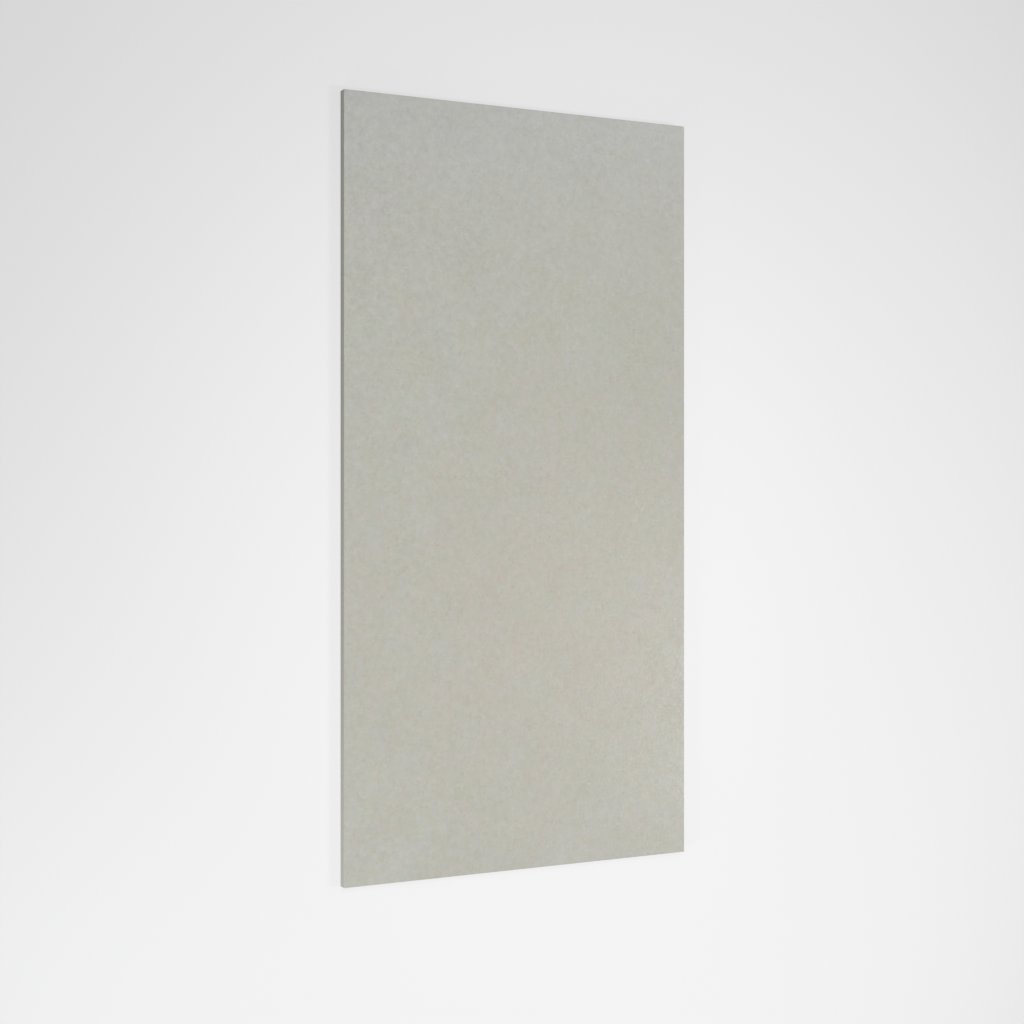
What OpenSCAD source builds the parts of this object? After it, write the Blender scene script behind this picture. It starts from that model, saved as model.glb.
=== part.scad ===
// PVC wall panel: one rectangular sheet of foamed PVC board, lying flat with its decor face up.
// The origin is the centre of the back face. X runs across the width, Y along the length, Z up to the decor face.

/* [Sheet] */
// Width of the sheet, across its short side
sheet_w = 1220; // [600:10:1500]
// Length of the sheet, along its long side
sheet_l = 2440; // [1200:10:3050]
// Thickness of the sheet, from the back face to the decor face
sheet_t = 30; // [8:1:40]

/* [Edges] */
// Radius of the eased edge all round the decor face
decor_edge_r = 1.5; // [0.5:0.1:3]
// Radius of the broken edge all round the back face
back_edge_r = 0.5; // [0.2:0.1:2]
// Radius of the four corners, seen from above
corner_r = 1; // [0.2:0.1:5]

/* [Hidden] */
// How far a cutter reaches past the surface that it cuts
overcut = 1;
$fn = 48;

// What is cut off a square corner at the origin, whose sides run along +X and +Y, to round it to radius r
module rounding_cutter(r) {
    difference() {
        translate([-overcut, -overcut]) square(r + overcut);
        translate([r, r]) circle(r);
    }
}

// Upright section of the sheet over a given span, with its back face on the X axis
module upright_section(span) {
    difference() {
        translate([-span / 2, 0]) square([span, sheet_t]);
        for (side = [-1, 1]) {
            translate([side * span / 2, 0])
                rotate(side > 0 ? 90 : 0) rounding_cutter(back_edge_r);
            translate([side * span / 2, sheet_t])
                rotate(side > 0 ? 180 : -90) rounding_cutter(decor_edge_r);
        }
    }
}

// Outline of the sheet seen from above, with its four corners rounded
module plan_outline() {
    difference() {
        square([sheet_w, sheet_l], center = true);
        for (half_turn = [0, 1])
            rotate(180 * half_turn) {
                translate([-sheet_w / 2, -sheet_l / 2]) rounding_cutter(corner_r);
                translate([sheet_w / 2, -sheet_l / 2]) rotate(90) rounding_cutter(corner_r);
            }
    }
}

// The whole sheet: the cross section run along the length, the long section run across the width, and the outline
// run upwards, kept where all three overlap
module wall_panel() {
    color("#bab9b0")
        intersection() {
            rotate([90, 0, 0]) linear_extrude(sheet_l, center = true) upright_section(sheet_w);
            rotate([90, 0, 90]) linear_extrude(sheet_w, center = true) upright_section(sheet_l);
            linear_extrude(sheet_t) plan_outline();
        }
}

wall_panel();
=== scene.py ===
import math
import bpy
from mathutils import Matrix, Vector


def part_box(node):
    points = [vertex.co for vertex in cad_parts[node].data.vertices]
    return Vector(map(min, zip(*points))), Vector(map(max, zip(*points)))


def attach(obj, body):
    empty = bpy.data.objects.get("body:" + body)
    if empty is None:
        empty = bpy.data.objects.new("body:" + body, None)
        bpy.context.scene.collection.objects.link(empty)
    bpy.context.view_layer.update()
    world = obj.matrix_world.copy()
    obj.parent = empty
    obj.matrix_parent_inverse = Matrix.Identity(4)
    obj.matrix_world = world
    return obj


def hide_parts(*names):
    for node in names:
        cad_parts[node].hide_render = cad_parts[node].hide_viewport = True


bl_info = {
    "name": "PVC Wall Panel",
    "version": (1, 0, 0),
    "blender": (4, 5, 0),
    "location": "3D View > Sidebar > Wall Panel",
    "description": "A foamed PVC wall panel with a pebbled, stone-toned face, in a pale studio",
    "category": "Object",
}

import bpy
from bpy.props import FloatProperty, FloatVectorProperty, IntProperty, PointerProperty
from mathutils import Vector

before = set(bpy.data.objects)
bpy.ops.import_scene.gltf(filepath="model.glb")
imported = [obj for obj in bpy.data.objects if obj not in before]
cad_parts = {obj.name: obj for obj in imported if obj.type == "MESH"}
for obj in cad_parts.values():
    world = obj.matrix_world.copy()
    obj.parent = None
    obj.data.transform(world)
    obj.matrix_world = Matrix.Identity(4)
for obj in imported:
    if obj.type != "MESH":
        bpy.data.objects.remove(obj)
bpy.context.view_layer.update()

NODE = "wall_panel"
BODY = "root"
LOW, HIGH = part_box(NODE)
SIZE = HIGH - LOW
FACE_CENTRE = Vector(((LOW.x + HIGH.x) / 2, (LOW.y + HIGH.y) / 2, HIGH.z))


# --------------------------------------------------------------------------------------------------
# Settings
# --------------------------------------------------------------------------------------------------


class SheetSettings(bpy.types.PropertyGroup):
    """Sizes of the sheet, its edges and the relief rolled into its face."""

    width: FloatProperty(
        name="Width", description="Size across the sheet", default=SIZE.x, unit="LENGTH"
    )
    length: FloatProperty(
        name="Length", description="Size along the sheet", default=SIZE.y, unit="LENGTH"
    )
    thickness: FloatProperty(
        name="Thickness", description="From the back to the face", default=SIZE.z, unit="LENGTH"
    )
    face_edge: FloatProperty(
        name="Face edge radius", description="Rounding all round the face",
        default=0.0015, unit="LENGTH",
    )
    back_edge: FloatProperty(
        name="Back edge radius", description="Rounding all round the back",
        default=0.0005, unit="LENGTH",
    )
    corner: FloatProperty(
        name="Corner radius", description="Rounding of the four corners, seen from above",
        default=0.001, unit="LENGTH",
    )
    cells_across: IntProperty(
        name="Cells across", description="Mesh cells across the face", default=190, min=8
    )
    cells_along: IntProperty(
        name="Cells along", description="Mesh cells along the face", default=380, min=8
    )
    swell_depth: FloatProperty(
        name="Swell depth", description="Depth of the soft hollows under the pebbles",
        default=0.00015, unit="LENGTH",
    )
    swell_size: FloatProperty(
        name="Swell size", description="Size of one soft hollow", default=0.016, unit="LENGTH"
    )
    seed: IntProperty(name="Seed", description="Picks another layout of the hollows", default=7)


class FinishSettings(bpy.types.PropertyGroup):
    """Colours and grain of the printed face, the sawn edges and the back."""

    face_colour: FloatVectorProperty(
        name="Face", description="Main tone of the face",
        subtype="COLOR", size=3, default=(0.4605, 0.4558, 0.4022),
    )
    cool_colour: FloatVectorProperty(
        name="Cool patches", description="Pale, cool patches",
        subtype="COLOR", size=3, default=(0.470, 0.457, 0.461),
    )
    warm_colour: FloatVectorProperty(
        name="Warm patches", description="Sand-coloured patches",
        subtype="COLOR", size=3, default=(0.458, 0.449, 0.341),
    )
    rose_colour: FloatVectorProperty(
        name="Rose patches", description="Faintly rosy patches",
        subtype="COLOR", size=3, default=(0.510, 0.445, 0.411),
    )
    moss_colour: FloatVectorProperty(
        name="Moss patches", description="Faintly green patches",
        subtype="COLOR", size=3, default=(0.418, 0.461, 0.391),
    )
    # The sawn edge is set darker than the face, partly the core's own grey and partly painted shade
    # on the sides
    edge_colour: FloatVectorProperty(
        name="Sawn edge", description="Foamed core where it is cut",
        subtype="COLOR", size=3, default=(0.392, 0.389, 0.346),
    )
    back_colour: FloatVectorProperty(
        name="Back", description="Plain skin of the back",
        subtype="COLOR", size=3, default=(0.50, 0.498, 0.470),
    )
    repeat_across: FloatProperty(
        name="Repeat across", description="Width of one repeat of the print",
        default=0.163, unit="LENGTH",
    )
    repeat_along: FloatProperty(
        name="Repeat along", description="Length of one repeat of the print",
        default=0.251, unit="LENGTH",
    )
    tone_depth: FloatProperty(
        name="Tone depth", description="Strength of the print's light and dark",
        default=1.0, min=0.0,
    )
    pebble_depth: FloatProperty(
        name="Pebble depth", description="Height of the fine pebbles",
        default=0.00016, unit="LENGTH",
    )
    roughness: FloatProperty(
        name="Roughness", description="Mean roughness of the face",
        default=0.40, min=0.0, max=1.0, subtype="FACTOR",
    )


class StudioSettings(bpy.types.PropertyGroup):
    """The camera and the tones of the studio."""

    camera_height: FloatProperty(
        name="Camera height", description="Camera above the face", default=4.977, unit="LENGTH"
    )
    camera_aside: FloatProperty(
        name="Camera aside", description="Camera off to the left of the middle",
        default=2.513, unit="LENGTH",
    )
    camera_along: FloatProperty(
        name="Camera along", description="Camera off the middle, towards the foot",
        default=0.017, unit="LENGTH",
    )
    camera_turn: FloatProperty(
        name="Camera turn", description="Tilt of the view off straight down",
        default=math.radians(26.446), unit="ROTATION",
    )
    lens: FloatProperty(name="Lens", description="Focal length", default=61.09, unit="CAMERA")
    shift: FloatProperty(name="Shift", description="Vertical shift of the lens", default=-0.0174)
    floor_tone: FloatProperty(
        name="Floor", description="Share of the light that the floor sends back",
        default=0.45, min=0.0, max=1.0, subtype="FACTOR",
    )
    ambient: FloatProperty(
        name="Ambient", description="Light from all round", default=0.40, min=0.0
    )
    backdrop: FloatProperty(
        name="Backdrop", description="Tone of the backdrop where it is seen", default=0.68, min=0.0
    )


# --------------------------------------------------------------------------------------------------
# Node trees
# --------------------------------------------------------------------------------------------------


def socket_of(sockets, key):
    """The socket with that identifier, or else with that name."""
    for socket in sockets:
        if socket.identifier == key:
            return socket
    return sockets[key]


class Weaver:
    """Adds nodes to one tree. A value is a socket to link from, or a plain value to set."""

    def __init__(self, tree):
        self.tree = tree

    def put(self, socket, value):
        if isinstance(value, bpy.types.NodeSocket):
            self.tree.links.new(value, socket)
        else:
            socket.default_value = value

    def add(self, kind, values=None, **settings):
        node = self.tree.nodes.new(kind)
        for name, setting in settings.items():
            setattr(node, name, setting)
        for key, value in (values or {}).items():
            self.put(socket_of(node.inputs, key), value)
        return node

    def group(self, tree, **values):
        """A group node. Its inputs are given by name, with _ for a space."""
        kind = "GeometryNodeGroup" if self.tree.type == "GEOMETRY" else "ShaderNodeGroup"
        node = self.tree.nodes.new(kind)
        node.node_tree = tree
        for key, value in values.items():
            self.put(node.inputs[key.replace("_", " ")], value)
        return node

    def math(self, operation, *values):
        node = self.tree.nodes.new("ShaderNodeMath")
        node.operation = operation
        for socket, value in zip(node.inputs, values):
            self.put(socket, value)
        return node.outputs[0]

    def total(self, *parts):
        """The sum of values, given as (share, value)."""
        result = 0.0
        for share, value in parts:
            result = self.math("MULTIPLY_ADD", value, share, result)
        return result

    def ramp(self, value, start, end, low, high, smooth=False):
        """low up to start, high past end, and an even or a smooth run between them."""
        node = self.add(
            "ShaderNodeMapRange",
            {"Value": value, "From Min": start, "From Max": end, "To Min": low, "To Max": high},
            interpolation_type="SMOOTHSTEP" if smooth else "LINEAR",
        )
        return node.outputs["Result"]

    def vector(self, x, y, z=0.0):
        return self.add("ShaderNodeCombineXYZ", {"X": x, "Y": y, "Z": z}).outputs[0]

    def parts(self, vector):
        """A vector's X, Y and Z, by name."""
        return self.add("ShaderNodeSeparateXYZ", {"Vector": vector}).outputs

    def vector_math(self, operation, first, second=None, scale=None):
        values = {"Vector": first}
        if second is not None:
            values["Vector_001"] = second
        if scale is not None:
            values["Scale"] = scale
        return self.add("ShaderNodeVectorMath", values, operation=operation).outputs

    def shifted(self, where, across, along):
        """Another stretch of the same pattern, that far off."""
        return self.vector_math("ADD", where, (across, along, 0.0))["Vector"]

    def noise(self, where, size, detail=0.0, roughness=0.5, w=None):
        """Soft noise from 0 to 1 with features of about that size."""
        values = {"Vector": where, "Scale": 1.0 / size, "Detail": detail, "Roughness": roughness}
        if w is not None:
            values["W"] = w
        node = self.add("ShaderNodeTexNoise", values, noise_dimensions="3D" if w is None else "4D")
        return node.outputs[0]

    def swing(self, where, size, w=None):
        """Soft noise either side of 0."""
        return self.math("SUBTRACT", self.noise(where, size, detail=1.0, w=w), 0.5)

    def spread(self, noise, low, high):
        """Noise spread evenly from low to high."""
        return self.ramp(noise, NOISE_LOW, NOISE_HIGH, low, high)

    def grey(self, value):
        values = {"Red": value, "Green": value, "Blue": value}
        return self.add("ShaderNodeCombineColor", values).outputs[0]

    def blend(self, factor, a, b, blend_type="MIX"):
        node = self.add(
            "ShaderNodeMix",
            {"Factor_Float": factor, "A_Color": a, "B_Color": b},
            data_type="RGBA",
            blend_type=blend_type,
        )
        return socket_of(node.outputs, "Result_Color")

    def toned(self, colour, brightness):
        """A colour times a brightness."""
        return self.blend(1.0, colour, self.grey(brightness), "MULTIPLY")

    def bump(self, height, distance, under=None):
        """The surface's normal, for a relief of that height over another."""
        values = {"Height": height, "Distance": distance}
        if under is not None:
            values["Normal"] = under
        return self.add("ShaderNodeBump", values).outputs[0]


def new_tree(name, kind, inputs, outputs):
    """A node tree with these inputs, as (name, type, default), and outputs, as (name, type)."""
    tree = bpy.data.node_groups.new(name, kind)

    def new_socket(label, in_out, socket_type):
        return tree.interface.new_socket(
            label, in_out=in_out, socket_type="NodeSocket" + socket_type
        )

    for label, socket_type, default in inputs:
        socket = new_socket(label, "INPUT", socket_type)
        if default is not None:
            socket.default_value = default
    for label, socket_type in outputs:
        new_socket(label, "OUTPUT", socket_type)
    weave = Weaver(tree)
    return tree, weave, weave.add("NodeGroupInput").outputs, weave.add("NodeGroupOutput").inputs


def rgba(colour):
    return (*colour, 1.0)


# --------------------------------------------------------------------------------------------------
# The sheet's mesh
# --------------------------------------------------------------------------------------------------

# The sheet is wrapped in rings of points, counted from the wrap's open border on the back, round
# the edge and on to the face. Each name is the ring where that stretch of the section starts.
BACK_ARC = 1
WALL = 3
WALL_LOW_LOOP = 4
WALL_HIGH_LOOP = 5
FACE_ARC = 6
FACE = 10
INNER_FACE = 11
# Width of the strips of faces beside the rounded edges, which keep the flats flat
LOOP_GAP = 0.001
MERGE_WITHIN = 0.00002
QUARTER_TURN = math.pi / 2
# A normal that points up or down by more than this belongs to the face or to the back
SKIN_LEAN = 0.4


def section_tree():
    """How far in from the side, and how high, a ring of the wrapped sheet lies."""
    tree, weave, given, made = new_tree(
        "Sheet Section",
        "GeometryNodeTree",
        [("Ring", "Float", 0.0), ("Thickness", "Float", 0.03),
         ("Face Edge", "Float", 0.0015), ("Back Edge", "Float", 0.0005)],
        [("Inset", "Float"), ("Height", "Float")],
    )
    ring, face_edge, back_edge = given["Ring"], given["Face Edge"], given["Back Edge"]

    def one_less(function, turn):
        return weave.math("SUBTRACT", 1.0, weave.math(function, turn))

    # Round the back's edge, up the wall, and round the face's edge
    back_turn = weave.ramp(ring, BACK_ARC, WALL, 0.0, QUARTER_TURN)
    face_turn = weave.ramp(ring, FACE_ARC, FACE, 0.0, QUARTER_TURN)
    back_inset = weave.math("MULTIPLY", back_edge, one_less("SINE", back_turn))
    back_rise = weave.math("MULTIPLY", back_edge, one_less("COSINE", back_turn))
    face_inset = weave.math("MULTIPLY", face_edge, one_less("COSINE", face_turn))
    face_rise = weave.math("MULTIPLY", face_edge, weave.math("SINE", face_turn))
    rounded = weave.math("ADD", face_edge, back_edge)
    between = weave.math("SUBTRACT", given["Thickness"], rounded)
    flat_wall = weave.math("SUBTRACT", between, 2 * LOOP_GAP)
    low_gap = weave.ramp(ring, WALL, WALL_LOW_LOOP, 0.0, LOOP_GAP)
    wall_rise = weave.ramp(ring, WALL_LOW_LOOP, WALL_HIGH_LOOP, 0.0, flat_wall)
    high_gap = weave.ramp(ring, WALL_HIGH_LOOP, FACE_ARC, 0.0, LOOP_GAP)

    # One narrow loop lies inside each flat's border
    back_gap = weave.ramp(ring, 0.0, BACK_ARC, LOOP_GAP, 0.0)
    face_gap = weave.ramp(ring, FACE, INNER_FACE, 0.0, LOOP_GAP)

    gaps = weave.math("ADD", back_gap, face_gap)
    arcs = weave.math("ADD", back_inset, face_inset)
    weave.put(made["Inset"], weave.math("ADD", arcs, gaps))
    wall = weave.math("ADD", weave.math("ADD", low_gap, wall_rise), high_gap)
    weave.put(made["Height"], weave.math("ADD", weave.math("ADD", back_rise, face_rise), wall))
    return tree


def corner_tree():
    """Pulls points in the square corners in to a round corner of the given radius."""
    tree, weave, given, made = new_tree(
        "Rounded Corner",
        "GeometryNodeTree",
        [("X", "Float", 0.0), ("Y", "Float", 0.0), ("Half Width", "Float", 0.61),
         ("Half Length", "Float", 1.22), ("Radius", "Float", 0.001)],
        [("X", "Float"), ("Y", "Float")],
    )

    def past_centre(place, half):
        """How far a point lies past the corner circle's centre, or 0."""
        start = weave.math("SUBTRACT", half, given["Radius"])
        past = weave.math("SUBTRACT", weave.math("ABSOLUTE", place), start)
        return weave.math("MAXIMUM", past, 0.0)

    past_x = past_centre(given["X"], given["Half Width"])
    past_y = past_centre(given["Y"], given["Half Length"])
    squares = weave.math("ADD", weave.math("POWER", past_x, 2.0), weave.math("POWER", past_y, 2.0))
    reach = weave.math("MAXIMUM", past_x, past_y)
    pull = weave.math("SUBTRACT", 1.0, weave.math("DIVIDE", reach, weave.math("SQRT", squares)))
    for axis, past in (("X", past_x), ("Y", past_y)):
        side = weave.math("SIGN", given[axis])
        step = weave.math("MULTIPLY", side, weave.math("MULTIPLY", past, pull))
        weave.put(made[axis], weave.math("SUBTRACT", given[axis], step))
    return tree


def sheet_tree():
    """The whole sheet: one grid wrapped round the face and the edges, and a flat back."""
    tree, weave, given, made = new_tree(
        "Wrapped Sheet",
        "GeometryNodeTree",
        [("Width", "Float", 1.22), ("Length", "Float", 2.44), ("Thickness", "Float", 0.03),
         ("Face Edge", "Float", 0.0015), ("Back Edge", "Float", 0.0005),
         ("Corner", "Float", 0.001), ("Cells Across", "Int", 190), ("Cells Along", "Int", 380),
         ("Swell Depth", "Float", 0.00015), ("Swell Size", "Float", 0.016), ("Seed", "Int", 7),
         ("Face Material", "Material", None), ("Edge Material", "Material", None),
         ("Back Material", "Material", None)],
        [("Geometry", "Geometry")],
    )
    section = section_tree()
    sizes = {
        "Thickness": given["Thickness"],
        "Face_Edge": given["Face Edge"],
        "Back_Edge": given["Back Edge"],
    }
    last_across = weave.math("ADD", given["Cells Across"], 2 * INNER_FACE)
    last_along = weave.math("ADD", given["Cells Along"], 2 * INNER_FACE)
    grid = weave.add(
        "GeometryNodeMeshGrid",
        {"Size X": last_across, "Size Y": last_along,
         "Vertices X": weave.math("ADD", last_across, 1.0),
         "Vertices Y": weave.math("ADD", last_along, 1.0)},
    )
    start = weave.parts(weave.add("GeometryNodeInputPosition").outputs[0])

    def ring_of(axis, last):
        """Rings between a point and the grid's border, along one axis."""
        half = weave.math("DIVIDE", last, 2.0)
        return weave.math("SUBTRACT", half, weave.math("ABSOLUTE", start[axis]))

    ring_across = ring_of("X", last_across)
    ring_along = ring_of("Y", last_along)
    level = weave.math("MINIMUM", ring_across, ring_along)
    at_level = weave.group(section, Ring=level, **sizes)

    def place(axis, ring, span, cells):
        """Where a point lies along one axis, once the grid is wrapped."""
        inset = weave.group(section, Ring=ring, **sizes).outputs["Inset"]
        inset = weave.math("MAXIMUM", inset, at_level.outputs["Inset"])
        half = weave.math("DIVIDE", span, 2.0)
        flat = weave.math("SUBTRACT", half, weave.math("ADD", given["Face Edge"], LOOP_GAP))
        step = weave.math("DIVIDE", flat, weave.math("DIVIDE", cells, 2.0))
        steps = weave.math("MAXIMUM", weave.math("SUBTRACT", ring, INNER_FACE), 0.0)
        inset = weave.math("ADD", inset, weave.math("MULTIPLY", steps, step))
        side = weave.math("SIGN", start[axis])
        return weave.math("MULTIPLY", side, weave.math("SUBTRACT", half, inset))

    rounded = weave.group(
        corner_tree(),
        X=place("X", ring_across, given["Width"], given["Cells Across"]),
        Y=place("Y", ring_along, given["Length"], given["Cells Along"]),
        Half_Width=weave.math("DIVIDE", given["Width"], 2.0),
        Half_Length=weave.math("DIVIDE", given["Length"], 2.0),
        Radius=given["Corner"],
    )
    across, along = rounded.outputs["X"], rounded.outputs["Y"]

    # Soft hollows sink into the face and fade out round its edge
    hollow = weave.add(
        "ShaderNodeTexNoise",
        {"Vector": weave.vector(across, along, given["Seed"]),
         "Scale": weave.math("DIVIDE", 1.0, given["Swell Size"]), "Detail": 1.0, "Roughness": 0.4},
    )
    fade = weave.ramp(level, FACE_ARC, FACE, 0.0, 1.0)
    faded = weave.math("MULTIPLY", hollow.outputs[0], fade)
    sunk = weave.math("MULTIPLY", faded, given["Swell Depth"])
    height = weave.math("SUBTRACT", at_level.outputs["Height"], sunk)
    wrapped = weave.add(
        "GeometryNodeSetPosition",
        {"Geometry": grid.outputs["Mesh"], "Position": weave.vector(across, along, height)},
    )

    def merged(part):
        values = {"Geometry": part.outputs[0], "Distance": MERGE_WITHIN}
        return weave.add("GeometryNodeMergeByDistance", values)

    skin = merged(wrapped)

    # The back is filled in from the open border
    on_border = weave.add("FunctionNodeCompare", data_type="INT", operation="EQUAL")
    faces_beside = weave.add("GeometryNodeInputMeshEdgeNeighbors").outputs[0]
    weave.put(socket_of(on_border.inputs, "A_INT"), faces_beside)
    weave.put(socket_of(on_border.inputs, "B_INT"), 1)
    border = weave.add(
        "GeometryNodeMeshToCurve", {"Mesh": skin.outputs[0], "Selection": on_border.outputs[0]}
    )
    filled = weave.add("GeometryNodeFillCurve", {"Curve": border.outputs[0]}, mode="NGONS")
    back = weave.add("GeometryNodeFlipFaces", {"Mesh": filled.outputs[0]})
    joined = weave.add("GeometryNodeJoinGeometry")
    for part in (back, skin):
        tree.links.new(part.outputs[0], joined.inputs[0])
    smooth = weave.add("GeometryNodeSetShadeSmooth", {"Geometry": merged(joined).outputs[0]})
    solid = weave.add("GeometryNodeRealizeInstances", {"Geometry": smooth.outputs[0]})

    # The wall takes the sawn edge, and what faces up or down takes the face or the back
    upward = weave.parts(weave.add("GeometryNodeInputNormal").outputs[0])["Z"]
    finished = solid
    for material, where in (
        ("Edge Material", True),
        ("Face Material", weave.math("GREATER_THAN", upward, SKIN_LEAN)),
        ("Back Material", weave.math("LESS_THAN", upward, -SKIN_LEAN)),
    ):
        finished = weave.add(
            "GeometryNodeSetMaterial",
            {"Geometry": finished.outputs[0], "Selection": where, "Material": given[material]},
        )
    weave.put(made["Geometry"], finished.outputs[0])
    return tree


def set_inputs(modifier, **values):
    """Sets a Geometry Nodes modifier's inputs, given by name with _ for a space."""
    identifiers = {
        item.name: item.identifier
        for item in modifier.node_group.interface.items_tree
        if item.item_type == "SOCKET" and item.in_out == "INPUT"
    }
    for name, value in values.items():
        modifier[identifiers[name.replace("_", " ")]] = value


def mesh_from_tree(name, tree, **values):
    """An object at the origin whose plain mesh is what the tree makes."""
    piece = bpy.data.objects.new(name, bpy.data.meshes.new(name))
    bpy.context.scene.collection.objects.link(piece)
    modifier = piece.modifiers.new("Maker", "NODES")
    modifier.node_group = tree
    set_inputs(modifier, **values)
    depsgraph = bpy.context.evaluated_depsgraph_get()
    made = bpy.data.meshes.new_from_object(piece.evaluated_get(depsgraph), depsgraph=depsgraph)
    piece.modifiers.remove(modifier)
    piece.data = made
    made.name = name
    for index in reversed(range(len(made.materials))):
        if made.materials[index] is None:
            made.materials.pop(index=index)
    return piece


# --------------------------------------------------------------------------------------------------
# Finishes
# --------------------------------------------------------------------------------------------------

# Index of refraction of the plastic
PVC_IOR = 1.5
# Soft noise keeps within about these values
NOISE_LOW = 0.2
NOISE_HIGH = 0.8

# The marks in the print: the size of each kind in metres, and how strongly it shows
MOTTLE_SIZE = 0.014
MOTTLE_SHARE = 0.080
CLOUD_SIZE = 0.16
CLOUD_SHARE = 0.078
SPOT_SIZE = 0.022
SPOT_SHARE = 0.165
FLECK_SIZE = 0.006
FLECK_SHARE = 0.090
CHIP_SIZE = 0.010
CHIP_SHARE = 0.126
# The tinted patches: their sizes, how strongly each size shows in the cool and the rosy tint, and
# how far each tint goes with the print's light and dark
TINT_SIZES = (0.010, 0.022, 0.12)
COOL_SHARES = (1.1, 1.3, 0.7)
ROSE_SHARES = (0.7, 1.05, 0.5)
COOL_WITH_TONE = 3.2
ROSE_WITH_TONE = -2.7
# How far off each kind of mark reads the same noise, so that one doesn't follow another
CHIPS_AWAY = (5.1, 1.7)
COOL_AWAY = (7.3, 2.9)
ROSE_AWAY = (3.7, 9.1)

# Where the small marks stand out: the size of those places, and the run of their strength, as
# (noise at the start, noise at the end, strength at the start, strength at the end)
BOLDNESS_SIZE = 0.045
BOLDNESS_RUN = (0.3, 0.7, 0.4, 1.5)
# The same kind of run along the sheet, from its middle towards the head, in metres. The head and
# foot runs place the painted tinted light
FULLNESS_ALONG = (-0.2, 0.6, 0.95, 1.2)
COOL_STRENGTH = (0.2, 1.1, 1.0, 0.7)
ROSE_STRENGTH = (0.4, 1.0, 1.05, 0.5)
HEAD_LIGHT_RUN = (0.5, 1.87, 0.0, 1.0)
FOOT_LIGHT_RUN = (-0.9, -1.3, 0.0, 1.0)
# and across it, towards the right
FULLNESS_ACROSS = (-0.3, 0.45, 0.12, -0.2)
# The painted warm light and sheen past the middle: its centre, and how far it reaches
WARM_LIGHT_CENTRE = (0.2, -0.4)
WARM_LIGHT_REACH = 1.1
# How far the painted cool light at the head and the foot, and the painted warm light, turn each
# tint
COOL_OF_PAINTED_LIGHT = (1.16, 0.12, -0.286)
ROSE_OF_PAINTED_LIGHT = (-0.357, -0.04, 0.26)

# Painted light and shade on the face, by the square of the distance from the middle, along and
# across
SHADE_ALONG = 0.0087
SHADE_ACROSS = -0.056
# and its slope across the sheet, at the middle and by the place along the sheet and its square
SLOPE_AT_MIDDLE = -0.0344
SLOPE_ALONG = 0.0187
SLOPE_ALONG_SQUARED = 0.0528


def half_drop_tree():
    """Four-dimensional noise coordinates that repeat over the sheet in a half-drop: each repeat's
    neighbour to the side sits half a repeat further along. The second pair is the same spot seen
    from the neighbouring repeat."""
    tree, weave, given, made = new_tree(
        "Half Drop Repeat",
        "ShaderNodeTree",
        [("Vector", "Vector", None), ("Across", "Float", 0.163), ("Along", "Float", 0.251)],
        [("Vector", "Vector"), ("W", "Float"), ("Neighbour", "Vector"), ("Neighbour W", "Float")],
    )
    spot = weave.parts(given["Vector"])
    full_turn = 2 * math.pi
    two_across = weave.math("MULTIPLY", given["Across"], 2.0)

    def circle(place, repeat):
        """The point at that place on a circle whose rim is one repeat long."""
        radius = weave.math("DIVIDE", repeat, full_turn)
        angle = weave.math("DIVIDE", place, radius)
        return (
            weave.math("MULTIPLY", radius, weave.math("COSINE", angle)),
            weave.math("MULTIPLY", radius, weave.math("SINE", angle)),
        )

    across_cos, across_sin = circle(spot["X"], two_across)
    along_cos, along_sin = circle(spot["Y"], given["Along"])
    where = weave.vector(across_cos, across_sin, along_cos)
    weave.put(made["Vector"], where)
    # The noise scales W with the rest, so it is in plain metres too
    weave.put(made["W"], along_sin)
    weave.put(made["Neighbour"], weave.vector_math("SCALE", where, scale=-1.0)["Vector"])
    weave.put(made["Neighbour W"], weave.math("MULTIPLY", along_sin, -1.0))
    return tree


def specks_tree():
    """Scattered soft specks, each in its own cell, from 0 to 1."""
    tree, weave, given, made = new_tree(
        "Specks",
        "ShaderNodeTree",
        [("Vector", "Vector", None), ("Spacing", "Float", 0.02), ("Radius", "Float", 0.003),
         ("Share", "Float", 0.5)],
        [("Fac", "Float")],
    )
    scale = weave.math("DIVIDE", 1.0, given["Spacing"])
    values = {"Vector": given["Vector"], "Scale": scale}
    cells = weave.add("ShaderNodeTexVoronoi", values, feature="F1")
    reach = weave.math("MULTIPLY", given["Radius"], scale)
    spot = weave.ramp(cells.outputs["Distance"], 0.0, reach, 1.0, 0.0, smooth=True)
    chance = weave.add("ShaderNodeSeparateColor", {"Color": cells.outputs["Color"]}).outputs[0]
    kept = weave.ramp(chance, given["Share"], 0.0, 0.0, 1.0)
    weave.put(made["Fac"], weave.math("MULTIPLY", spot, kept))
    return tree


def fine_noise(weave, given, detail, roughness):
    """Soft noise with the size that a group is given."""
    scale = weave.math("DIVIDE", 1.0, given["Size"])
    values = {"Vector": given["Vector"], "Scale": scale, "Detail": detail, "Roughness": roughness}
    return weave.add("ShaderNodeTexNoise", values).outputs[0]


def flecks_tree():
    """Small pale and dark flecks on even ground, either side of 0."""
    tree, weave, given, made = new_tree(
        "Flecks",
        "ShaderNodeTree",
        [("Vector", "Vector", None), ("Size", "Float", 0.008)],
        [("Value", "Float")],
    )
    swing = weave.math("SUBTRACT", fine_noise(weave, given, detail=1.0, roughness=0.5), 0.5)
    # Squared with its sign kept, so that only the peaks and pits stand out
    sharpness = 8.0
    strength = weave.math("MULTIPLY", weave.math("ABSOLUTE", swing), sharpness)
    weave.put(made["Value"], weave.math("MULTIPLY", swing, strength))
    return tree


def grain_tree():
    """Height of a fine grain with the given size, for a bump."""
    tree, weave, given, made = new_tree(
        "Fine Grain",
        "ShaderNodeTree",
        [("Vector", "Vector", None), ("Size", "Float", 0.001)],
        [("Height", "Float")],
    )
    weave.put(made["Height"], fine_noise(weave, given, detail=2.0, roughness=0.6))
    return tree


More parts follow.
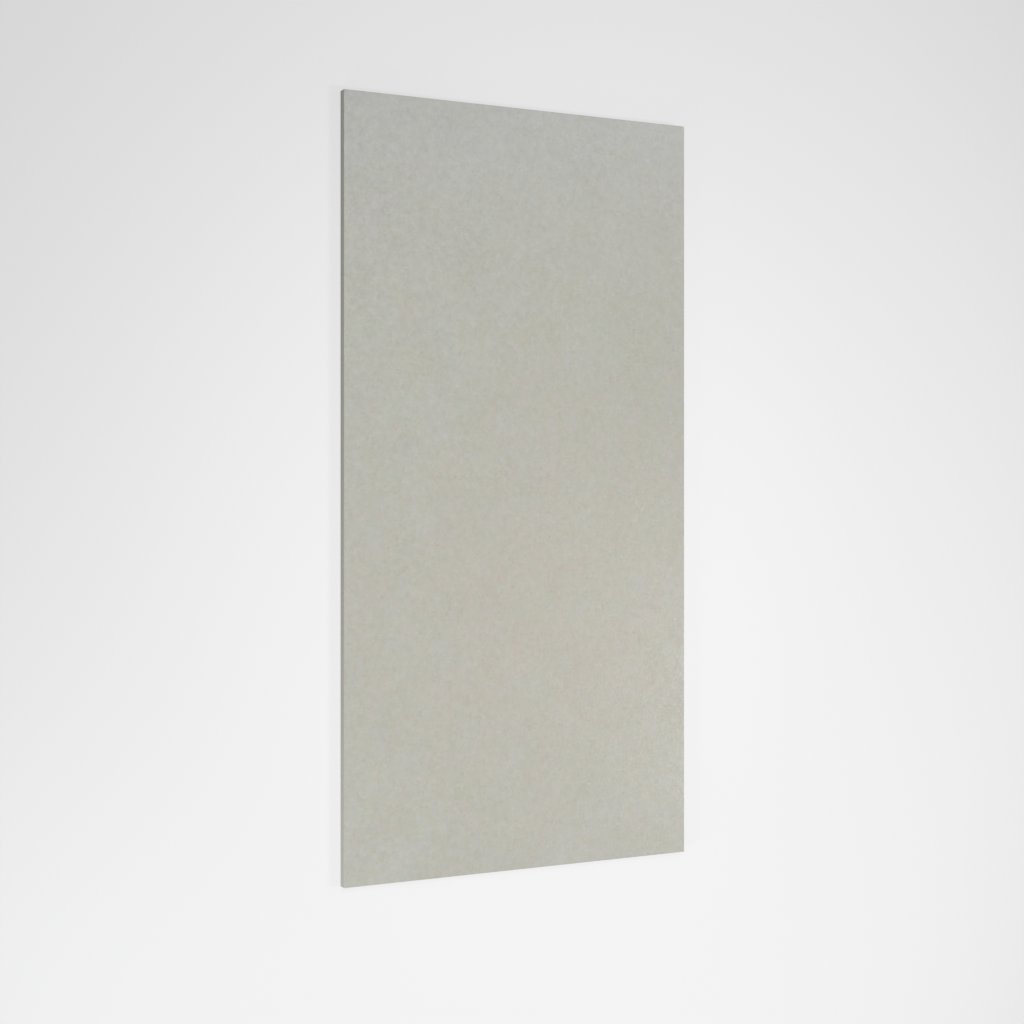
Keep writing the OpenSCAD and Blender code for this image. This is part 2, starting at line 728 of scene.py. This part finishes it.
def pebble_tree():
    """Height of a rolled pebble relief whose pebbles lean across the sheet, from 0 to 1."""
    tree, weave, given, made = new_tree(
        "Rolled Pebble",
        "ShaderNodeTree",
        [("Vector", "Vector", None), ("Lean", "Float", 0.9), ("Long", "Float", 0.012),
         ("Short", "Float", 0.0045)],
        [("Height", "Float")],
    )
    turned = weave.add(
        "ShaderNodeVectorRotate",
        {"Vector": given["Vector"], "Angle": given["Lean"]},
        rotation_type="Z_AXIS",
        invert=True,
    )
    spot = weave.parts(turned.outputs[0])
    stretched = weave.vector(
        weave.math("DIVIDE", spot["X"], given["Long"]),
        weave.math("DIVIDE", spot["Y"], given["Short"]),
    )
    pebbles = weave.noise(stretched, 1.0, detail=1.0, roughness=0.45)
    foot, crown = 0.25, 0.75
    weave.put(made["Height"], weave.ramp(pebbles, foot, crown, 0.0, 1.0, smooth=True))
    return tree


def new_material(name):
    """A material, its Principled shader, and where it lies on the piece, in metres."""
    material = bpy.data.materials.new(name)
    material.use_nodes = True
    shader = material.node_tree.nodes["Principled BSDF"]
    shader.inputs["IOR"].default_value = PVC_IOR
    weave = Weaver(material.node_tree)
    return material, weave, shader.inputs, weave.add("ShaderNodeTexCoord").outputs["Object"]


def painted_light_tints(weave, where, along):
    """Painted tinted light over the sheet, as a cool tint and a rosy tint: painted cool light at
    the head, a painted warm, rosy light and sheen past the middle, and a little cooler again at the
    foot."""
    head = weave.ramp(along, *HEAD_LIGHT_RUN, smooth=True)
    foot = weave.ramp(along, *FOOT_LIGHT_RUN, smooth=True)
    off_warm = weave.shifted(where, -WARM_LIGHT_CENTRE[0], -WARM_LIGHT_CENTRE[1])
    distance = weave.vector_math("LENGTH", off_warm)["Value"]
    warm = weave.ramp(distance, 0.0, WARM_LIGHT_REACH, 1.0, 0.0, smooth=True)
    places = (head, foot, warm)
    return weave.total(*zip(COOL_OF_PAINTED_LIGHT, places)), weave.total(*zip(ROSE_OF_PAINTED_LIGHT, places))


def painted_light_and_shade(weave, across, along):
    """Painted light and shade on the face, either side of 0, which makes up the brightness that the
    lamps leave out. It is a little darker towards the long sides, and slopes across the sheet, to
    one side and back again along it."""
    along_squared = weave.math("MULTIPLY", along, along)
    slope = weave.total((SLOPE_ALONG, along), (SLOPE_ALONG_SQUARED, along_squared))
    slope = weave.math("ADD", slope, SLOPE_AT_MIDDLE)
    return weave.total(
        (SHADE_ALONG, along_squared),
        (SHADE_ACROSS, weave.math("MULTIPLY", across, across)),
        (1.0, weave.math("MULTIPLY", across, slope)),
    )


def print_tones(weave, where, finish, groups):
    """Light and dark of the print's marks, its cool or warm tint and its rosy or mossy tint, each
    either side of 0. Both tints carry painted tinted light as well as the print's own patches."""
    repeat = weave.group(
        groups["repeat"], Vector=where, Across=finish.repeat_across, Along=finish.repeat_along
    ).outputs
    for_chips = weave.shifted(where, *CHIPS_AWAY)
    for_cool = weave.shifted(where, *COOL_AWAY)
    for_rose = weave.shifted(where, *ROSE_AWAY)

    # The print's roller brings the mottle round again, and the rest never repeats
    here = weave.swing(repeat["Vector"], MOTTLE_SIZE, w=repeat["W"])
    there = weave.swing(repeat["Neighbour"], MOTTLE_SIZE, w=repeat["Neighbour W"])
    clouds = weave.total(
        (CLOUD_SHARE, weave.swing(where, CLOUD_SIZE)), (SPOT_SHARE, weave.swing(where, SPOT_SIZE))
    )
    coarse = weave.total((MOTTLE_SHARE, weave.math("ADD", here, there)), (1.0, clouds))

    # The small marks stand out more in some places than in others
    flecks = weave.group(groups["flecks"], Vector=where, Size=FLECK_SIZE).outputs[0]
    chips = weave.group(groups["flecks"], Vector=for_chips, Size=CHIP_SIZE).outputs[0]
    small = weave.total((FLECK_SHARE, flecks), (CHIP_SHARE, chips))
    boldness = weave.ramp(weave.noise(for_chips, BOLDNESS_SIZE), *BOLDNESS_RUN)

    # The coarse marks are fuller towards the head and the left
    spot = weave.parts(where)
    fuller_along = weave.ramp(spot["Y"], *FULLNESS_ALONG)
    fullness = weave.math("ADD", fuller_along, weave.ramp(spot["X"], *FULLNESS_ACROSS))
    tone = weave.total((boldness, small), (fullness, coarse))

    def tint(place, shares, with_tone, strength, painted_light):
        """One tint of the print, which is calmer towards the head, with the painted tinted light
        added.
        """
        patches = [(share, weave.swing(place, size)) for share, size in zip(shares, TINT_SIZES)]
        mixed = weave.total(*patches, (with_tone, coarse))
        return weave.math("MULTIPLY_ADD", mixed, weave.ramp(spot["Y"], *strength), painted_light)

    # What is paler is a little cooler and greener too
    # The painted tinted light: cool at the head and the foot, warm past the middle
    painted_cool_light, painted_rose_light = painted_light_tints(weave, where, spot["Y"])
    cool = tint(for_cool, COOL_SHARES, COOL_WITH_TONE, COOL_STRENGTH, painted_cool_light)
    rose = tint(for_rose, ROSE_SHARES, ROSE_WITH_TONE, ROSE_STRENGTH, painted_rose_light)
    return tone, cool, rose


def face_material(finish, groups):
    """Stone-toned print under a satin pebbled skin, with painted light and shade and painted tinted
    light in its colour.
    """
    material, weave, shader, where = new_material("Stone Tone Face")
    tone, cool, rose = print_tones(weave, where, finish, groups)
    colour = rgba(finish.face_colour)
    for tint, positive, negative in (
        (cool, finish.cool_colour, finish.warm_colour),
        (rose, finish.rose_colour, finish.moss_colour),
    ):
        colour = weave.blend(weave.ramp(tint, 0.0, 1.0, 0.0, 1.0), colour, rgba(positive))
        colour = weave.blend(weave.ramp(tint, 0.0, -1.0, 0.0, 1.0), colour, rgba(negative))
    spot = weave.parts(where)
    # The print's marks sit on painted light and shade, which sets the brightness under them
    ground = weave.math("ADD", painted_light_and_shade(weave, spot["X"], spot["Y"]), 1.0)
    brightness = weave.math("MULTIPLY_ADD", tone, finish.tone_depth, ground)
    weave.put(shader["Base Color"], weave.toned(colour, brightness))

    # Satin skin: a little rougher where the print is dark, rolled pebbles over a fine grain
    change, full_tone = 0.04, 0.02
    roughness = weave.ramp(
        tone, -full_tone, full_tone, finish.roughness + change, finish.roughness - change
    )
    weave.put(shader["Roughness"], roughness)
    grain_size, grain_height = 0.0014, 0.00003
    grain = weave.group(groups["grain"], Vector=where, Size=grain_size).outputs[0]
    pebbles = weave.group(groups["pebble"], Vector=where).outputs[0]
    fine = weave.bump(grain, grain_height)
    weave.put(shader["Normal"], weave.bump(pebbles, finish.pebble_depth, fine))
    return material


def edge_material(finish, groups):
    """Sawn board: a foamed core, its cells cut open, between two dense skins, with saw marks."""
    material, weave, shader, where = new_material("Sawn Foam Edge")
    spot = weave.parts(where)
    run = weave.math("ADD", spot["X"], spot["Y"])
    mark_length = 0.05

    def saw_marks(spacing):
        """Marks up the edge, about that far apart."""
        drawn = weave.vector(
            weave.math("DIVIDE", run, spacing), weave.math("DIVIDE", spot["Z"], mark_length)
        )
        return weave.noise(drawn, 1.0, detail=2.0, roughness=0.6)

    saw = saw_marks(0.0022)
    chatter = saw_marks(0.010)
    cloud = weave.noise(where, 0.02, detail=3.0, roughness=0.7)

    # Dense under both skins, and cells further in
    from_back = weave.math("SUBTRACT", spot["Z"], LOW.z)
    from_face = weave.math("SUBTRACT", HIGH.z, spot["Z"])
    depth = weave.math("MINIMUM", from_back, from_face)
    skin_depth, core_depth = 0.0022, 0.0030
    skin = weave.ramp(depth, skin_depth, core_depth, 1.0, 0.0, smooth=True)
    core = weave.math("SUBTRACT", 1.0, skin)
    cells = weave.group(groups["specks"], Vector=where, Spacing=0.0016, Radius=0.0008, Share=0.8)
    open_cells = weave.math("MULTIPLY", cells.outputs[0], core)

    # cell_shade darkens the open cells: painted shade in their pits
    cell_shade, skin_lift, skin_gloss = -0.10, 0.05, -0.10
    brightness = weave.total(
        (1.0, weave.spread(cloud, 0.97, 1.03)), (1.0, weave.spread(saw, -0.02, 0.02)),
        (1.0, weave.spread(chatter, -0.03, 0.03)), (cell_shade, open_cells), (skin_lift, skin),
    )
    # The edge's grey carries painted shade on the sides as well as the core's own tone
    weave.put(shader["Base Color"], weave.toned(rgba(finish.edge_colour), brightness))
    roughness = weave.total((1.0, weave.spread(cloud, 0.55, 0.68)), (skin_gloss, skin))
    weave.put(shader["Roughness"], roughness)
    mark_height, cell_height = 0.00005, 0.00010
    marked = weave.bump(saw, mark_height)
    level = weave.math("SUBTRACT", 1.0, open_cells)
    weave.put(shader["Normal"], weave.bump(level, cell_height, marked))
    return material


def back_material(finish, groups):
    """Plain foamed skin with faint lines drawn along the sheet as it was made."""
    material, weave, shader, where = new_material("Plain Foam Back")
    spot = weave.parts(where)
    line_spacing, line_length = 0.004, 0.6
    drawn = weave.vector(
        weave.math("DIVIDE", spot["X"], line_spacing), weave.math("DIVIDE", spot["Y"], line_length)
    )
    lines = weave.noise(drawn, 1.0, detail=2.0, roughness=0.6)
    cloud = weave.noise(where, 0.05, detail=4.0, roughness=0.7)
    brightness = weave.math(
        "ADD", weave.spread(cloud, 0.97, 1.03), weave.spread(lines, -0.012, 0.012)
    )
    weave.put(shader["Base Color"], weave.toned(rgba(finish.back_colour), brightness))
    weave.put(shader["Roughness"], weave.spread(cloud, 0.48, 0.60))
    line_height, grain_size, grain_height = 0.00002, 0.0020, 0.00004
    grain = weave.group(groups["grain"], Vector=where, Size=grain_size).outputs[0]
    marked = weave.bump(lines, line_height)
    weave.put(shader["Normal"], weave.bump(grain, grain_height, marked))
    return material


class AddSheet(bpy.types.Operator):
    """Adds the panel's sheet, with its relief, rounded edges and three finishes"""

    bl_idname = "wall_panel.add_sheet"
    bl_label = "Add Sheet"
    bl_options = {"REGISTER", "UNDO"}

    def execute(self, context):
        shape = context.scene.wall_panel_sheet
        finish = context.scene.wall_panel_finish
        groups = {
            "repeat": half_drop_tree(),
            "specks": specks_tree(),
            "flecks": flecks_tree(),
            "grain": grain_tree(),
            "pebble": pebble_tree(),
        }
        sheet = mesh_from_tree(
            "decor_sheet",
            sheet_tree(),
            Width=shape.width,
            Length=shape.length,
            Thickness=shape.thickness,
            Face_Edge=shape.face_edge,
            Back_Edge=shape.back_edge,
            Corner=shape.corner,
            Cells_Across=shape.cells_across,
            Cells_Along=shape.cells_along,
            Swell_Depth=shape.swell_depth,
            Swell_Size=shape.swell_size,
            Seed=shape.seed,
            Face_Material=face_material(finish, groups),
            Edge_Material=edge_material(finish, groups),
            Back_Material=back_material(finish, groups),
        )
        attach(sheet, BODY)
        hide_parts(NODE)
        return {"FINISHED"}


# --------------------------------------------------------------------------------------------------
# The studio
# --------------------------------------------------------------------------------------------------

# Half the floor's side, and how far it lies under the sheet's back
FLOOR_HALF = 60.0
FLOOR_DROP = 0.0005
# How far the camera sees
FAR_CLIP = 200.0
# The floor shows light and shade up to the first distance from the sheet's middle, less and less
# up to the second, and none past it
SHADED_WITHIN = 1.2
SHADED_TO = 3.2
# The share of the lamps' light that the floor shows there, and how bright all of that light is
SHADED_SHARE = 0.20
LAMP_LIGHT = 1.529
# The pool of brightness on the floor: its centre, how much narrower it is across the sheet than
# along it, its brightness at the centre, how that changes by the square of the distance, and how
# softly the pool runs out into the backdrop's tone
POOL_CENTRE = (0.262, -0.665)
POOL_NARROWING = 1.188
POOL_BRIGHTNESS = 1.024
POOL_FALL = -0.03
POOL_BLEND = 0.15


def seen_rays(weave):
    """1 for a ray from the camera, off a glossy surface or through glass, and 0 for the rest."""
    path = weave.add("ShaderNodeLightPath").outputs
    seen = weave.math("MAXIMUM", path["Is Camera Ray"], path["Is Glossy Ray"])
    return weave.math("MAXIMUM", seen, path["Is Transmission Ray"])


def floor_material(studio):
    """A matt floor. Where it is seen, a soft pool of brightness lifts it, which fades out to the
    backdrop's tone."""
    material = bpy.data.materials.new("Pale Floor")
    material.use_nodes = True
    material.node_tree.nodes.clear()
    weave = Weaver(material.node_tree)
    seen = seen_rays(weave)
    where = weave.add("ShaderNodeTexCoord").outputs["Object"]

    # Where it is seen, the floor shows light and shade near the sheet only
    from_sheet = weave.vector_math("LENGTH", where)["Value"]
    near = weave.ramp(from_sheet, SHADED_WITHIN, SHADED_TO, SHADED_SHARE, 0.0, smooth=True)
    share = weave.ramp(seen, 0.0, 1.0, studio.floor_tone, near)
    matt = weave.add("ShaderNodeBsdfDiffuse", {"Color": weave.grey(share)})

    off_centre = weave.shifted(where, -POOL_CENTRE[0], -POOL_CENTRE[1])
    oval = weave.vector_math("MULTIPLY", off_centre, (POOL_NARROWING, 1.0, 1.0))["Vector"]
    squared = weave.vector_math("DOT_PRODUCT", oval, oval)["Value"]
    pool = weave.math("MULTIPLY_ADD", squared, POOL_FALL, POOL_BRIGHTNESS)
    pool = weave.math("SMOOTH_MAX", pool, studio.backdrop, POOL_BLEND)
    # The floor glows with what the lamps leave short of the pool
    level = weave.math("MULTIPLY_ADD", near, -LAMP_LIGHT, pool)
    glow = weave.add("ShaderNodeEmission", {"Strength": weave.math("MULTIPLY", level, seen)})
    both = weave.add("ShaderNodeAddShader")
    weave.tree.links.new(matt.outputs[0], both.inputs[0])
    weave.tree.links.new(glow.outputs[0], both.inputs[1])
    weave.add("ShaderNodeOutputMaterial", {"Surface": both.outputs[0]})
    return material


def add_floor(studio):
    mesh = bpy.data.meshes.new("floor")
    sides = ((-1, -1), (1, -1), (1, 1), (-1, 1))
    corners = [(x * FLOOR_HALF, y * FLOOR_HALF, LOW.z - FLOOR_DROP) for x, y in sides]
    mesh.from_pydata(corners, [], [(0, 1, 2, 3)])
    floor = bpy.data.objects.new("floor", mesh)
    bpy.context.scene.collection.objects.link(floor)
    mesh.materials.append(floor_material(studio))


def add_world(studio):
    world = bpy.data.worlds.new("Studio")
    bpy.context.scene.world = world
    world.use_nodes = True
    world.node_tree.nodes.clear()
    weave = Weaver(world.node_tree)
    level = weave.ramp(seen_rays(weave), 0.0, 1.0, studio.ambient, studio.backdrop)
    white = rgba((1.0, 1.0, 1.0))
    sky = weave.add("ShaderNodeBackground", {"Color": white, "Strength": level})
    weave.add("ShaderNodeOutputWorld", {"Surface": sky.outputs[0]})


def add_softbox(name, place, aim, size, power, colour, mirrored=True):
    """A square lamp at a place, turned to face a point. Unless it is mirrored, no surface
    reflects it."""
    lamp = bpy.data.lights.new(name, "AREA")
    lamp.size = size
    lamp.energy = power
    lamp.color = colour
    box = bpy.data.objects.new(name, lamp)
    bpy.context.scene.collection.objects.link(box)
    box.location = place
    box.rotation_euler = (Vector(aim) - Vector(place)).to_track_quat("-Z", "Y").to_euler()
    box.visible_camera = False
    box.visible_glossy = mirrored


def add_lamps():
    add_softbox(
        "key", place=(6.2, -1.65, 5.4), aim=(0.6, -1.2, 0.0),
        size=1.6, power=281.0, colour=(1.0, 0.995, 0.971),
    )
    add_softbox(
        "head_fill", place=(-0.7, 1.7, 5.0), aim=(-0.6, 1.2, 0.0),
        size=1.6, power=72.6, colour=(0.963, 0.99, 1.0),
    )
    add_softbox(
        "side_fill", place=(4.2, 2.9, 4.0), aim=(0.6, 1.2, 0.0),
        size=1.2, power=11.1, colour=(0.94, 0.98, 1.0),
    )
    # This one stands so low that its reflection would be a glare
    add_softbox(
        "foot_fill", place=(-2.7, -2.3, 0.9), aim=(-0.6, -1.2, 0.0),
        size=1.0, power=52.4, colour=(0.977, 0.982, 1.0), mirrored=False,
    )


def add_camera(studio):
    lens = bpy.data.cameras.new("camera")
    lens.lens = studio.lens
    lens.shift_y = studio.shift
    lens.clip_end = FAR_CLIP
    camera = bpy.data.objects.new("camera", lens)
    bpy.context.scene.collection.objects.link(camera)
    off_face = Vector((-studio.camera_aside, -studio.camera_along, studio.camera_height))
    camera.location = FACE_CENTRE + off_face
    camera.rotation_euler = (0.0, -studio.camera_turn, 0.0)
    bpy.context.scene.camera = camera


class AddStudio(bpy.types.Operator):
    """Adds the pale floor and backdrop, the softboxes and the camera"""

    bl_idname = "wall_panel.add_studio"
    bl_label = "Add Studio"
    bl_options = {"REGISTER", "UNDO"}

    def execute(self, context):
        studio = context.scene.wall_panel_studio
        context.scene.view_settings.view_transform = "Standard"
        add_floor(studio)
        add_world(studio)
        add_lamps()
        add_camera(studio)
        return {"FINISHED"}


class WallPanelSidebar(bpy.types.Panel):
    """Buttons and settings for the wall panel"""

    bl_idname = "VIEW3D_PT_wall_panel"
    bl_label = "PVC Wall Panel"
    bl_space_type = "VIEW_3D"
    bl_region_type = "UI"
    bl_category = "Wall Panel"

    def draw(self, context):
        for heading, settings, operator in (
            ("Sheet", context.scene.wall_panel_sheet, None),
            ("Finish", context.scene.wall_panel_finish, AddSheet),
            ("Studio", context.scene.wall_panel_studio, AddStudio),
        ):
            box = self.layout.box()
            box.label(text=heading)
            for name in settings.__annotations__:
                box.prop(settings, name)
            if operator:
                box.operator(operator.bl_idname)


CLASSES = (SheetSettings, FinishSettings, StudioSettings, AddSheet, AddStudio, WallPanelSidebar)


def register():
    for item in CLASSES:
        bpy.utils.register_class(item)
    bpy.types.Scene.wall_panel_sheet = PointerProperty(type=SheetSettings)
    bpy.types.Scene.wall_panel_finish = PointerProperty(type=FinishSettings)
    bpy.types.Scene.wall_panel_studio = PointerProperty(type=StudioSettings)


def unregister():
    del bpy.types.Scene.wall_panel_sheet
    del bpy.types.Scene.wall_panel_finish
    del bpy.types.Scene.wall_panel_studio
    for item in reversed(CLASSES):
        bpy.utils.unregister_class(item)


def main():
    register()
    bpy.ops.wall_panel.add_sheet()
    bpy.ops.wall_panel.add_studio()


if __name__ == "__main__":
    main()
